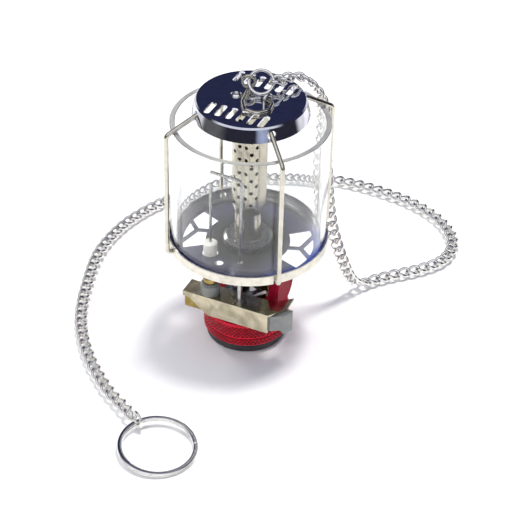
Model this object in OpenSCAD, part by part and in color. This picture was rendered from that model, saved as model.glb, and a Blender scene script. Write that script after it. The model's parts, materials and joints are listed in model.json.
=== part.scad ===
// Compact gas lantern for a screw-on cartridge: a slotted hood on four wire posts over a
// clear glass, a fluted burner tube, a side valve, a push igniter and a hanging curb chain.
// Millimetres, +Z up. It stands on its foot ring at z = 0, and the hood's slot rows run along X.

/* [Foot and collar] */
// Height of the black foot ring
foot_h = 4; // [3:0.5:6]
// Outer radius of the foot ring
foot_r = 15.9; // [14.5:0.1:17]
// Radial width of the foot ring
foot_w = 3.4; // [2.5:0.1:5]
// Height of the red collar
collar_h = 10; // [9.5:0.5:14]
// Outer radius of the collar
collar_r = 17.2; // [16.5:0.1:19]
// Height of the collar's lower grip band
band_h = 3; // [2:0.2:4]
// Height of the groove between the grip bands
groove_h = 0.8; // [0.4:0.1:1.2]
// Depth of the groove between the grip bands
groove_d = 0.5; // [0.2:0.1:1]
// Radius of the cartridge thread's wall
thread_r = 5.1; // [4.8:0.05:5.5]
// Length of the cartridge thread's wall
thread_len = 8; // [6:0.5:8.5]

/* [Valve] */
// Radius of the spigot that locates the valve in the collar
spigot_r = 6; // [5.6:0.1:7]
// Radius of the valve's shoulder under the igniter bracket
shoulder_r = 7; // [6.6:0.1:8]
// Height of the shoulder on the hexagon
shoulder_h = 0.6; // [0.4:0.1:1.2]
// Radius of the valve's upper column
column_r = 6; // [5.2:0.1:6.4]
// Height of the hexagon on the valve's foot
hex_h = 4; // [3:0.5:6]
// Radius over the corners of the valve's hexagons
hex_r = 8.4; // [7.6:0.1:9]
// Height of the bracket nut
nut_h = 2.4; // [2:0.2:3]
// Height of the side boss above the bracket nut
knob_z = 0.4; // [0.3:0.1:3]
// Height of the valve's column above the side boss
column_h = 9; // [8:0.1:12]
// Radius of the valve's side boss
boss_r = 4.4; // [4:0.1:4.8]
// Reach of the side boss from the lantern's axis
boss_reach = 7.2; // [6.8:0.1:8]
// Length of the gland nut
gland_l = 3.4; // [2:0.2:4]
// Radius of the spindle
spindle_r = 1.5; // [1.2:0.1:2]
// Radius of the knob
knob_r = 8.3; // [7.5:0.1:8.8]
// Length of the knob along its axis
knob_l = 4; // [3.6:0.1:4.4]
// Gap between gland nut and knob
knob_gap = 2; // [1:0.1:2.4]
// Radial clearance of the turning spindle
run_clear = 0.05; // [0.02:0.01:0.1]
// Clearance between parts that are put together
fit_clear = 0.05; // [0.02:0.01:0.1]
// Clearance between parts that move past each other
move_clear = 0.3; // [0.3:0.05:0.6]

/* [Burner] */
// Outer radius of the mixer tube
mixer_r = 4.2; // [3.8:0.1:4.4]
// Wall of the mixer tube
mixer_wall = 0.8; // [0.6:0.1:1]
// Height of the mixer tube below its flange
mixer_h = 3; // [2.8:0.1:4]
// Thickness of the mixer tube's flange
mixer_flange = 1.2; // [0.8:0.1:1.6]
// Radius of the hub that carries the burner tube
hub_r = 9.7; // [9:0.1:11]
// Height of the hub
hub_h = 3.2; // [2.5:0.1:4]
// Height of the burner tube
tube_h = 55.4; // [48:0.2:56]
// Radius of the burner tube's plain foot
tube_foot_r = 5.4; // [5.2:0.1:5.7]
// Height of the plain foot, up to the ends of the flutes
tube_foot_h = 11.2; // [8:0.2:16]
// Radius of one flute
flute_r = 3.4; // [3.2:0.1:3.6]
// Distance of the flutes from the tube's axis
flute_off = 3.6; // [3.4:0.1:3.8]
// Height over which the flutes run out on the plain foot
flute_run = 5; // [3:0.5:7]
// Wall of the burner tube
tube_wall = 0.5; // [0.4:0.1:0.6]
// Radius of one flame hole
flame_r = 0.75; // [0.5:0.05:0.9]
// Height step between flame holes in one column
flame_step = 5.6; // [4.4:0.2:7]
// Outer radius of the gauze roll inside the burner tube
gauze_r = 4.6; // [4.45:0.05:4.6]

/* [Base and glass] */
// Thickness of the pan and ring sheet
sheet = 0.6; // [0.5:0.1:0.8]
// Distance of the pan's edge inside the base ring's
pan_r = 2.7; // [2:0.1:3.4]
// Outer radius of the base ring
ring_r = 31.1; // [30:0.1:32]
// Height of the base ring
ring_h = 3.8; // [3:0.2:6]
// Width of the base ring's floor
ring_floor = 4.7; // [3.7:0.2:5.1]
// Distance of the side vents' middles inside the pan's edge
vent_off = 7.4; // [7:0.1:9.4]
// Half width of the side vents across the rim
vent_r = 4.5; // [3.6:0.1:4.8]
// Half length of the side vents round the rim, in degrees
vent_l = 30; // [20:1:36]
// Width of the webs in the side vents
web_w = 1.7; // [1:0.1:2.5]
// Wall of the glass
glass_wall = 2; // [1.5:0.1:2.4]
// Height of the glass
glass_h = 53.2; // [46:0.2:53.4]

/* [Hood and posts] */
// Height of the hood's top above the burner's plug
hood_z = 3.4; // [2.6:0.1:8]
// Gap between the glass and the hood's rim
rim_gap = 3.9; // [3.4:0.1:8]
// Radius of the hood's flat top
hood_r = 20.9; // [20.6:0.1:21.4]
// Radius of the hood's lower rim
rim_r = 22.2; // [21.9:0.1:23]
// Height of the hood
hood_h = 5.5; // [5:0.1:6.5]
// Thickness of the hood
hood_t = 0.8; // [0.6:0.1:1]
// Slots in one row
slot_n = 6; // [4:2:6]
// Step between slots
slot_step = 4.3; // [3.8:0.1:4.3]
// Width of one slot
slot_w = 2.4; // [1.8:0.1:2.8]
// Length of one slot
slot_l = 7.8; // [5:0.2:8]
// Distance of a slot row's middle from the hood's middle
slot_off = 12.5; // [11:0.1:12.5]
// Radius of the post wire
wire_r = 0.9; // [0.7:0.05:0.95]
// Distance of the posts outside the base ring
post_off = 1.9; // [1.6:0.1:3]
// Height of the posts' holes above the hood's rim
post_z = 2.5; // [2.2:0.1:2.7]
// Depth of the posts' shoulders below the hood's rim
shoulder_z = 4.1; // [3.6:0.1:4.4]
// Bend radius of the posts' lower ends
hook_bend = 1.5; // [1.2:0.1:1.7]
// Height of the posts' lower ends above the ring's floor
hook_rise = 0.8; // [0.4:0.1:1.6]

/* [Igniter] */
// Height of the bracket's top face
bracket_z = 25; // [24.6:0.1:25.2]
// Left end of the bracket
bracket_x0 = -19.3; // [-21:0.1:-18.8]
// Right end of the bracket
bracket_x1 = 17.2; // [16.6:0.1:18]
// Front face of the bracket
bracket_y = -18.5; // [-19:0.1:-18]
// Depth of the bracket's left end
bracket_d = 8.2; // [8:0.1:9]
// Thickness of the bracket sheet
bracket_t = 0.8; // [0.6:0.1:1]
// Height of the bracket's front flap
flap_h = 8.7; // [8:0.1:9.5]
// Length of the flap's slanted lower edge
flap_slant = 10.7; // [6:0.1:14]
// Reach of the bracket's ear past its right end
ear_w = 5.2; // [4:0.1:6]
// Width of the tab that joins the bracket to the valve
tab_w = 12; // [10:0.2:14]
// Height of the piezo block
piezo_h = 7; // [6:0.1:7.4]
// Depth of the piezo block
piezo_d = 6.6; // [6:0.1:7]
// Side of the button's square stem
stem_w = 4.4; // [3.6:0.1:4.6]
// Reach of the button past the bracket's right end
button_reach = 7; // [6.2:0.1:7.4]
// Depth of the button's lip
lip_h = 2.2; // [1:0.1:2.6]
// Travel of the igniter button
press = 4; // [2:0.5:4]
// Place of the electrode along X
spark_x = -9.2; // [-10:0.1:-8]
// Place of the ground wire along X
ground_x = 3.6; // [2:0.1:5]
// Radius of the boot on the bracket
boot_r = 3.9; // [3.2:0.1:4]
// Height of the boot
boot_h = 5.2; // [4:0.1:6]
// Radius of the ceramic
ceramic_r = 2.65; // [2:0.05:2.8]
// Height of the ceramic above its ferrule
ceramic_h = 16.5; // [14:0.1:20]
// Radius of the electrode rod
rod_r = 0.55; // [0.4:0.05:0.7]
// Height of the electrode rod above the ceramic
rod_h = 27; // [20:0.5:28]
// Gap between the electrode's tip and the ground wire
spark_gap = 5; // [3:0.5:7]

/* [Chain and key ring] */
// Step between chain links
link_step = 4.6; // [4.4:0.1:5.4]
// Radius of the link wire
link_wire = 0.65; // [0.5:0.05:0.65]
// Half width of a link along its wire's middle
link_half = 2.2; // [2.2:0.1:2.6]
// Twist from a link's middle to its end, in degrees
link_twist = 48; // [44:1:50]
// Outer radius of the key ring
key_r = 15; // [13:0.5:17]
// Side of the key ring's section
key_w = 1.8; // [1.4:0.1:1.8]
// Middle radius of the small ring that ends the chain
end_r = 3.2; // [3.2:0.1:3.6]
// Middle radius of the jump ring on the hood
jump_r = 4.6; // [4:0.1:5]

/* [Hidden] */
$fn = 64;
eps = 0.01;
bend_swell = 0.02;
bend_lap = 0.05;

// Levels from the floor up
thread_top = foot_h + thread_len;
valve_z = foot_h + collar_h;
clamp_z = valve_z + hex_h + shoulder_h;
nut_z = clamp_z + bracket_t;
knob_axis = nut_z + nut_h + knob_z + boss_r;
column_top = knob_axis + boss_r + column_h;
bracket_under = bracket_z - bracket_t;
flange_z = column_top + mixer_h;
pan_z = flange_z + mixer_flange;
ring_z = pan_z + sheet;
seat_z = ring_z + sheet;
hub_top = ring_z + hub_h;
tube_top = hub_top + tube_h;
glass_top = seat_z + glass_h;
plug_h = 1.2;
vent_turn = 9;
hood_top = max(tube_top + plug_h + hood_z, glass_top + rim_gap + hood_h);
rim_z = hood_top - hood_h;
pan_edge = ring_r - pan_r;
vent_mid = pan_edge - vent_off;
glass_r = ring_r - sheet - move_clear;

// Valve and knob along X
bore_r = spindle_r + run_clear;
gland_end = boss_reach + gland_l;
knob_x = gland_end + knob_gap;
knob_end = knob_x + knob_l;
screw_recess = 2;
screw_r = 2.2;
screw_head = 1;
cap_r = knob_r - 2;
cap_h = 0.8;

// Igniter
bracket_back = bracket_y + bracket_d;
spark_y = (bracket_y + bracket_back) / 2;
piezo_y = bracket_y + bracket_t + move_clear;
piezo_x0 = bracket_x0 + 0.4;
case_l = 17;
guide_x = piezo_x0 + case_l;
button_x = bracket_x1 - 3;
guide_end = button_x - press - 0.6;
stem_end = guide_end - 6.5;
button_top = bracket_under - move_clear;
button_bottom = button_top - piezo_h;
ferrule_h = 3.3;
ferrule_z = bracket_z + boot_h;
ceramic_z = ferrule_z + ferrule_h;
rod_z = ceramic_z + ceramic_h;
arm_z = rod_z + rod_h + spark_gap;
post_foot_h = 0.6;
ground_post_r = 1.1;
ground_r = 0.6;
ground_y = spark_y - 0.6;
ground_z = pan_z - 1;

// Posts, drawn with X pointing outward
post_out = ring_r + post_off;
post_top = rim_z + post_z;
post_wall = hood_r - hood_t / 2 + (hood_h - post_z) * (rim_r - hood_r) / hood_h;
post_slope = (post_z + shoulder_z) / (post_out - post_wall);
post_in = rim_r - 3.2;
post_play = 0.75;
post_hole_r = wire_r + post_play;
hook_low = ring_z + hook_rise;
hook_tip = ring_r - sheet + 0.05;
notch_gap = 0.4;
post_angles = [45, 135, 225, 315];

// Chain
link_clear = 0.3;
link_long = (link_step + 2 * link_wire + link_clear) / 2;
link_rings = 10;
link_sides = 6;
hang_share = 0.33;
rear_share = 0.66;

// The chain's route from the jump ring over the hood's edge, down to the floor and round
route = [[5.9, 9.73, hood_top + 3.75], [8, 14.2, hood_top + 3.4], [11.6, 18.4, hood_top + 2.4],
    [15.4, 21.8, hood_top - 1.4], [17.8, 25, hood_top - 7.5], [18.8, 27.3, hood_top - 16],
    [19.2, 27.9, hood_top - 28], [20.9, 27.6, 60], [23.3, 28.8, 40],
    [27.2, 32.4, 22], [30, 37.5, 9], [32.4, 43.5, 3.4], [36.4, 49.7, 2.1], [42, 56, 2.1],
    [51, 65, 2.1], [57, 74, 2.1], [58.5, 83, 2.1], [56, 92, 2.1], [49.5, 100, 2.1],
    [40.5, 106, 2.1], [29.5, 110, 2.1], [17, 112, 2.1], [4, 112.5, 2.1], [-8, 111, 2.1],
    [-20, 107.5, 2.1], [-33, 102, 2.1], [-45, 95.5, 2.1], [-54, 88, 2.1], [-61, 77, 2.1],
    [-67, 65, 2.1], [-73, 51, 2.1], [-76.5, 35, 2.1], [-76, 15, 2.1], [-69.5, -7, 2.1],
    [-62.5, -24, 2.1], [-54, -37.5, 2.1], [-43.5, -49.5, 2.1], [-31, -60.2, 2.1],
    [-22.4, -65.6, 2.4], [-15.6, -69.85, 3]];

// Key ring and the small ring that joins it to the chain
key_mid = key_r - key_w / 2;
pull = unit(route[len(route) - 1] - route[len(route) - 2]);
pull_flat = unit([pull.x, pull.y, 0]);
side_flat = [-pull_flat.y, pull_flat.x, 0];
chain_end = route[len(route) - 1] + link_long * pull_flat;
end_wire = 0.55;
end_mid = [chain_end.x, chain_end.y, end_r + end_wire + 0.05] + 1.5 * pull_flat;
key_hold = [end_mid.x, end_mid.y, 3.2] + 0.9 * pull_flat;
key_tilt = asin((key_hold.z - key_w / 2 - 0.05) / (2 * key_mid));

// Hook and jump ring on the hood
clip_r = 0.75;
clip_z = hood_top + clip_r + 0.03;
eye_r = 2.4;
eye_wire = 0.55;
lead = unit([route[1].x - route[0].x, route[1].y - route[0].y, 0]);
jump_wire = 0.6;
jump_tilt = 42;
jump_dir = unit([9.3, 3.6, 0]);
jump_hold = route[0] - (link_long - link_wire - jump_wire - 0.3) * lead;
jump_mid = jump_hold - jump_r * jump_dir;
hook_hold = jump_mid - jump_r * jump_dir;
staple_at = [6.5, 0.3];
staple_r = 1.9;
staple_wire = 0.5;
staple_leg = 1.3;
rivet_x = 6.1;

function unit(v) = v / norm(v);

// Matrix that stands +Z up along w
function upright(w) =
    let (
        s = abs(w.z) < 0.9 ? [0, 0, 1] : [1, 0, 0],
        u = unit(cross(s, w)),
        v = cross(w, u)
    )
    [[u.x, v.x, w.x, 0], [u.y, v.y, w.y, 0], [u.z, v.z, w.z, 0], [0, 0, 0, 1]];

// Direction of a flat path's length i, and its turn at point i, in degrees
function heading(p, i) = atan2(p[i + 1].y - p[i].y, p[i + 1].x - p[i].x);
function turn(p, i) = (heading(p, i) - heading(p, i - 1) + 540) % 360 - 180;

// Round wire along a path in the XY plane, with a bend radius for each inner point. The bends
// are a hair thicker than the straight lengths, whose ends lie inside them.
module bent_wire(path, bends, r) {
    last = len(path) - 1;
    back = [for (i = [0 : last])
        i == 0 || i == last ? 0 : bends[i - 1] * tan(abs(turn(path, i)) / 2)];
    for (i = [0 : last - 1]) {
        long = norm(path[i + 1] - path[i]) - back[i] - back[i + 1];
        lap0 = i > 0 ? bend_lap : 0;
        lap1 = i < last - 1 ? bend_lap : 0;
        if (long > eps)
            translate([path[i].x, path[i].y, 0])
                rotate(heading(path, i))
                    translate([back[i] - lap0, 0, 0])
                        rotate([0, 90, 0])
                            cylinder(h = long + lap0 + lap1, r = r);
    }
    for (i = [1 : last - 1]) {
        left = turn(path, i) > 0;
        translate([path[i].x, path[i].y, 0])
            rotate(heading(path, i - 1))
                translate([-back[i], left ? bends[i - 1] : -bends[i - 1], 0])
                    rotate(left ? -90 : 90 + turn(path, i))
                        rotate_extrude(angle = abs(turn(path, i)))
                            translate([bends[i - 1], 0])
                                circle(r + bend_swell);
    }
}

module ring(inner, outer, z, h) {
    translate([0, 0, z])
        difference() {
            cylinder(h = h, r = outer);
            translate([0, 0, -1])
                cylinder(h = h + 2, r = inner);
        }
}

module torus(mid, r) {
    rotate_extrude()
        translate([mid, 0])
            circle(r);
}

// Foot ring that stands on the cartridge's shoulder
module foot_ring() {
    color("#1c1c1e")
        rotate_extrude()
            polygon([[foot_r - foot_w, 0], [foot_r - 0.4, 0], [foot_r, 0.4],
                [foot_r, foot_h], [foot_r - foot_w, foot_h]]);
}

// Collar with the cartridge's thread, a lower and an upper grip band
module collar() {
    b = foot_h + band_h;
    color("#a3142a")
        rotate_extrude()
            polygon([[thread_r, foot_h], [collar_r - 0.5, foot_h], [collar_r, foot_h + 0.5],
                [collar_r, b], [collar_r - groove_d, b], [collar_r - groove_d, b + groove_h],
                [collar_r, b + groove_h], [collar_r, valve_z - 1], [collar_r - 1, valve_z],
                [spigot_r, valve_z], [spigot_r, thread_top], [thread_r, thread_top]]);
}

// Rubber seal for the cartridge's valve, in a groove of the valve's spigot
seal_mid = 3.5;
seal_r = 0.75;
module seal_ring() {
    color("#202020")
        translate([0, 0, thread_top + seal_r + fit_clear])
            torus(seal_mid, seal_r);
}

// Pin that opens the cartridge's valve
pin_r = 0.9;
pin_l = 4;
module probe_pin() {
    color("#c9a95c")
        translate([0, 0, thread_top])
            cylinder(h = pin_l, r = pin_r);
}

// Turned valve: spigot, hexagon, shoulder, column and a boss for the spindle
module valve_body() {
    color("#8d9096")
        difference() {
            union() {
                translate([0, 0, thread_top])
                    cylinder(h = valve_z - thread_top, r = spigot_r - fit_clear);
                translate([0, 0, valve_z])
                    cylinder(h = hex_h, r = hex_r, $fn = 6);
                translate([0, 0, valve_z + hex_h])
                    cylinder(h = shoulder_h, r = shoulder_r);
                translate([0, 0, clamp_z])
                    cylinder(h = column_top - clamp_z, r = column_r);
                translate([0, 0, knob_axis])
                    rotate([0, 90, 0])
                        cylinder(h = boss_reach, r = boss_r);
            }
            ring(seal_mid - seal_r - fit_clear, seal_mid + seal_r + fit_clear, thread_top - 1,
                2 * seal_r + 2 * fit_clear + 1);
            translate([0, 0, thread_top - 1])
                cylinder(h = pin_l + 1, r = pin_r + fit_clear);
            translate([-2, 0, knob_axis])
                rotate([0, 90, 0])
                    cylinder(h = boss_reach + 3, r = bore_r);
        }
}

// Nut that clamps the igniter bracket on the valve's shoulder
module bracket_nut() {
    color("#b9bcc2")
        translate([0, 0, nut_z])
            difference() {
                cylinder(h = nut_h, r = hex_r, $fn = 6);
                translate([0, 0, -1])
                    cylinder(h = nut_h + 2, r = column_r + fit_clear);
            }
}

// Gland nut that closes the spindle's boss
module gland_nut() {
    color("#c9a95c")
        translate([boss_reach, 0, knob_axis])
            rotate([0, 90, 0])
                difference() {
                    cylinder(h = gland_l, r = boss_r, $fn = 6);
                    translate([0, 0, -1])
                        cylinder(h = gland_l + 2, r = bore_r);
                }
}

// Spindle that the knob turns, with a needle point
module spindle() {
    needle = 2 * spindle_r;
    color("#b9bcc2")
        translate([0, 0, knob_axis])
            rotate([0, 90, 0])
                rotate_extrude()
                    polygon([[0, 1 - needle], [spindle_r, 1], [spindle_r, knob_end - screw_recess],
                        [0, knob_end - screw_recess]]);
}

// Red knob, with a recess for screw and cap in its face and relieved at the back
module control_knob() {
    back_r = knob_r - 1.8;
    color("#8f1226")
        translate([knob_x, 0, knob_axis])
            rotate([0, 90, 0])
                rotate_extrude()
                    polygon([[spindle_r + fit_clear, 0], [spindle_r + 2.2, 0],
                        [spindle_r + 2.2, 1], [back_r, 1], [back_r, 0], [knob_r - 0.5, 0],
                        [knob_r, 0.5], [knob_r, knob_l - 0.9], [knob_r - 0.9, knob_l],
                        [cap_r + fit_clear, knob_l], [cap_r + fit_clear, knob_l - screw_recess],
                        [spindle_r + fit_clear, knob_l - screw_recess]]);
}

// Screw that holds the knob on the spindle
module knob_screw() {
    color("#c8cad0")
        translate([knob_end - screw_recess, 0, knob_axis])
            rotate([0, 90, 0])
                difference() {
                    cylinder(h = screw_head, r = screw_r);
                    translate([-0.3, -screw_r - 1, screw_head - 0.5])
                        cube([0.6, 2 * screw_r + 2, 1]);
                }
}

// Flat red cap that closes the knob's face over the screw
module knob_cap() {
    color("#8f1226")
        translate([knob_end - cap_h - 0.1, 0, knob_axis])
            rotate([0, 90, 0])
                cylinder(h = cap_h, r = cap_r);
}

// Brass jet on the valve's column
module jet() {
    color("#c9a95c")
        translate([0, 0, column_top])
            difference() {
                union() {
                    cylinder(h = 1.8, r = mixer_r - mixer_wall - 0.6, $fn = 6);
                    translate([0, 0, 1.8])
                        cylinder(h = 1.6, r = 1.2);
                }
                translate([0, 0, 1])
                    cylinder(h = 4, r = 0.3);
            }
}

// Mixer tube with air holes and the flange that carries the pan
module mixer_tube() {
    air_r = mixer_h * 0.4;
    color("#9a9da3")
        difference() {
            union() {
                translate([0, 0, column_top])
                    cylinder(h = hub_top + 2.8 - column_top, r = mixer_r);
                translate([0, 0, flange_z])
                    cylinder(h = mixer_flange, r = mixer_r + 2.4);
            }
            translate([0, 0, column_top - 1])
                cylinder(h = hub_top + 6 - column_top, r = mixer_r - mixer_wall);
            for (a = [45, 135])
                translate([0, 0, column_top + mixer_h / 2])
                    rotate([90, 0, a])
                        cylinder(h = 4 * mixer_r, r = air_r, center = true);
        }
}

// One side vent that follows the rim about +X, divided by three webs
module webbed_vent(turned) {
    inner = vent_mid - vent_r;
    outer = vent_mid + vent_r;
    far = 2 * outer;
    y = far * tan(vent_l);
    difference() {
        intersection() {
            difference() {
                cylinder(h = 4, r = outer, center = true);
                cylinder(h = 6, r = inner, center = true);
            }
            linear_extrude(height = 8, center = true)
                polygon([[0, 0], [far, -y], [far, y]]);
        }
        translate([vent_mid, 0, 0])
            for (a = [0 : 120 : 240])
                rotate(a + turned)
                    translate([0, -web_w / 2, -3])
                        cube([far, web_w, 6]);
    }
}

// Pressed pan with vents and the ways through for ceramic and ground wire
module base_pan() {
    spark_way = ceramic_r + 0.4;
    sight_way = ceramic_r - 0.9;
    color("#a9abb3")
        translate([0, 0, pan_z])
            difference() {
                cylinder(h = sheet, r = pan_edge);
                cylinder(h = 4, r = mixer_r + fit_clear, center = true);
                for (a = [vent_turn, vent_turn + 180])
                    rotate(a)
                        webbed_vent(70);
                translate([spark_x, spark_y, 0])
                    cylinder(h = 4, r = spark_way, center = true);
                translate([spark_x + 5.8, spark_y - 4.4, 0])
                    cylinder(h = 4, r = sight_way, center = true);
                translate([ground_x, ground_y, 0])
                    cylinder(h = 4, r = ground_r + 0.7, center = true);
            }
}

// Ring that the glass stands in, with a notch for the end of each post
module base_ring() {
    notch_w = 2 * (wire_r + notch_gap);
    color("#d9d6cc")
        difference() {
            rotate_extrude()
                polygon([[ring_r - ring_floor, ring_z], [ring_r, ring_z],
                    [ring_r, ring_z + ring_h], [ring_r - sheet, ring_z + ring_h],
                    [ring_r - sheet, seat_z], [ring_r - ring_floor, seat_z]]);
            for (a = post_angles)
                rotate(a)
                    translate([ring_r - 2 * sheet, -notch_w / 2, ring_z - 1])
                        cube([4, notch_w, hook_rise + wire_r + notch_gap + 1]);
        }
}

// Hub that carries the burner tube
module burner_hub() {
    color("#85878d")
        translate([0, 0, ring_z])
            rotate_extrude()
                polygon([[mixer_r + fit_clear, 0], [hub_r, 0], [hub_r, hub_h - 1.2],
                    [hub_r - 1.2, hub_h - 0.4], [tube_foot_r + 1.2, hub_h - 0.4],
                    [tube_foot_r + 1, hub_h], [mixer_r + fit_clear, hub_h]]);
}

// The six flutes, as upright cylinders round the tube's axis
module flutes(r, z, h) {
    translate([0, 0, z])
        linear_extrude(height = h)
            union() {
                circle(r = tube_foot_r - tube_wall);
                for (a = [0 : 60 : 300])
                    rotate(a)
                        translate([flute_off, 0])
                            circle(r = r);
            }
}

// Fluted burner tube: six pressed flutes that run out on a plain foot, four with flame holes
module burner_tube() {
    low = hub_top + tube_foot_h;
    first = low + flute_run + 1;
    rows = floor((tube_top - 1.5 - first) / flame_step);
    crest = flute_off + flute_r;
    color("#cfcabd")
        difference() {
            union() {
                translate([0, 0, hub_top])
                    cylinder(h = tube_foot_h + 1, r = tube_foot_r);
                difference() {
                    flutes(flute_r, low, tube_top - low);
                    rotate_extrude()
                        polygon([[tube_foot_r + 0.05, low - 1], [crest + 2, low - 1],
                            [crest + 2, low + flute_run], [crest + 0.05, low + flute_run],
                            [tube_foot_r + 0.05, low]]);
                }
            }
            translate([0, 0, hub_top - 1])
                cylinder(h = tube_foot_h + flute_run + 2, r = tube_foot_r - tube_wall);
            flutes(flute_r - tube_wall, low + flute_run, tube_h);
            for (a = [60, 120, 240, 300])
                rotate(a)
                    for (i = [0 : rows])
                        for (side = [-1, 0, 1])
                            flame_hole(side, first + (i + abs(side) / 2) * flame_step);
        }
}

// One flame hole, straight out of a flute
module flame_hole(side, z) {
    if (z < tube_top - 1.5)
        translate([flute_off, 0, z])
            rotate(38 * side)
                rotate([0, 90, 0])
                    translate([0, 0, flute_r / 2])
                        cylinder(h = flute_r, r = flame_r);
}

// Roll of gauze inside the burner tube, round the mixer tube's upper end
module burner_gauze() {
    color("#3a3836")
        ring(mixer_r + fit_clear, gauze_r, hub_top, tube_h - 0.4);
}

// Plug on the burner tube's upper end
module burner_plug() {
    color("#9a9da3")
        translate([0, 0, tube_top])
            rotate_extrude()
                polygon([[0, 0], [flute_off + flute_r - 0.6, 0], [flute_off + flute_r - 0.6, 0.6],
                    [2, plug_h], [0, plug_h]]);
}

// Clear glass, with eased edges at the top
module glass_globe() {
    ease = glass_wall / 4;
    color("#cfe6ea", 0.35)
        rotate_extrude()
            polygon([[glass_r - glass_wall, seat_z], [glass_r, seat_z], [glass_r, glass_top - ease],
                [glass_r - ease, glass_top], [glass_r - glass_wall + ease, glass_top],
                [glass_r - glass_wall, glass_top - ease]]);
}

// One slot of the hood, with cut corners
module slot() {
    c = slot_w / 4;
    x = slot_w / 2;
    y = slot_l / 2;
    linear_extrude(height = 4 * hood_t, center = true)
        polygon([[-x, c - y], [c - x, -y], [x - c, -y], [x, c - y], [x, y - c], [x - c, y],
            [c - x, y], [-x, y - c]]);
}

// Hood: a flat slotted top and a flared side with a hole for each post
module hood() {
    bevel = 0.6;
    color("#30343f")
        difference() {
            rotate_extrude()
                polygon([[0, hood_top], [hood_r - bevel, hood_top], [hood_r, hood_top - bevel],
                    [rim_r, rim_z], [rim_r - hood_t, rim_z],
                    [hood_r - hood_t, hood_top - hood_t], [0, hood_top - hood_t]]);
            for (row = [-1, 1])
                for (i = [0 : slot_n - 1])
                    translate([(i - (slot_n - 1) / 2) * slot_step, row * slot_off, hood_top])
                        slot();
            for (a = post_angles)
                rotate(a)
                    translate([hood_r - 2, 0, post_top])
                        rotate([0, 90, 0])
                            cylinder(h = 6, r = post_hole_r);
        }
}

// Eyelet rivet in the hood
module hood_rivet() {
    color("#c9cbd2")
        translate([-rivet_x, 0, hood_top])
            rotate_extrude()
                polygon([[0.7, 0], [2, 0], [2, 0.4], [1.5, 0.8], [1, 0.8], [0.7, 0.5]]);
}

// Staple that holds the chain's hook on the hood
module hood_staple() {
    top = staple_leg + staple_r;
    color("#b9bcc2")
        translate([staple_at.x, staple_at.y, hood_top])
            rotate([90, 0, heading(clip_path, len(clip_path) - 2) + 90])
                bent_wire([[-staple_r, 0], [-staple_r, top], [staple_r, top], [staple_r, 0]],
                    [staple_r, staple_r], staple_wire);
}

// Wire post: hooked into the hood, over the glass's rim, down and into the ring's notch
module post(angle) {
    path = [[post_in, post_top - 1.4],
        [post_in, post_top + post_slope * (post_wall - post_in)],
        [post_out, rim_z - shoulder_z], [post_out, hook_low], [hook_tip, hook_low]];
    color("#d9d6cc")
        rotate([90, 0, angle])
            bent_wire(path, [wire_r + 0.1, 2 * wire_r + 0.2, hook_bend], wire_r);
}

module post_rear_right() {
    post(post_angles[0]);
}

module post_rear_left() {
    post(post_angles[1]);
}

module post_front_left() {
    post(post_angles[2]);
}

module post_front_right() {
    post(post_angles[3]);
}

// Open hook that lies on the hood, its tail through the staple and its eye on the jump ring
clip_path = [[hook_hold.x, hook_hold.y], [-1.4, -4.6], [1.4, -9], [6.6, -9.6], [9.8, -5.6],
    [9, -0.8], [3.6, 1.6]];
module hanger_hook() {
    color("#c9cbd2")
        union() {
            translate([0, 0, clip_z])
                bent_wire(clip_path, [3, 2.5, 2, 2.5, 1.6], clip_r);
            translate(hook_hold)
                multmatrix(upright([-jump_dir.y, jump_dir.x, 0]))
                    torus(eye_r, eye_wire);
        }
}

// Jump ring between the hook and the chain, leaning on the hood
module jump_ring() {
    rise = cos(jump_tilt) * [-jump_dir.y, jump_dir.x, 0] + sin(jump_tilt) * [0, 0, 1];
    color("#b9bcc2")
        translate(jump_mid)
            multmatrix(upright(cross(jump_dir, rise)))
                torus(jump_r, jump_wire);
}

// Smooth curve through the route's points
function curve(i, t) =
    let (
        n = len(route) - 1,
        a = route[max(i - 1, 0)],
        b = route[i],
        c = route[i + 1],
        d = route[min(i + 2, n)]
    )
    0.5 * (2 * b + (c - a) * t + (2 * a - 5 * b + 4 * c - d) * t * t
        + (3 * b - a - 3 * c + d) * t * t * t);

route_steps = 8;
line = concat(
    [for (i = [0 : len(route) - 2]) for (k = [0 : route_steps - 1]) curve(i, k / route_steps)],
    [route[len(route) - 1]]);
run = [for (i = 0, s = 0; i < len(line);
    s = s + (i + 1 < len(line) ? norm(line[i + 1] - line[i]) : 0), i = i + 1) s];
chain_len = run[len(run) - 1];
link_n = round(chain_len / link_step) + 1;
link_gap = chain_len / (link_n - 1);

// Point of the route at a distance from its start
function along(s) =
    let (
        c = min(max(s, 0), chain_len - eps),
        k = max([for (i = [0 : len(run) - 2]) if (run[i] <= c) i])
    )
    line[k] + (line[k + 1] - line[k]) * (c - run[k]) / (run[k + 1] - run[k]);

// Middle line of a link: an oval whose ends are twisted out of its plane
function link_line(u) =
    let (w = link_twist * cos(u))
    [link_long * cos(u), link_half * sin(u) * cos(w), link_half * sin(u) * sin(w)];

// Points of link i, ring by ring
function link_points(i) =
    let (
        c = along(i * link_gap),
        t = unit(along((i + 0.5) * link_gap) - along((i - 0.5) * link_gap)),
        ref = (1 - abs(t.z)) * [0, 0, 1] + abs(t.z) * unit([c.x, c.y, 0]),
        side = unit(cross(ref, t)),
        top = cross(t, side)
    )
    [for (k = [0 : link_rings - 1])
        let (
            u = 360 * k / link_rings,
            p = link_line(u),
            f = unit(link_line(u + 1) - link_line(u - 1)),
            o = unit(p - (p * f) * f),
            b = cross(f, o)
        )
        for (j = [0 : link_sides - 1])
            let (
                v = 360 * j / link_sides,
                q = p + link_wire * (cos(v) * o + sin(v) * b)
            )
            c + q.x * t + q.y * side + q.z * top];

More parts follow.
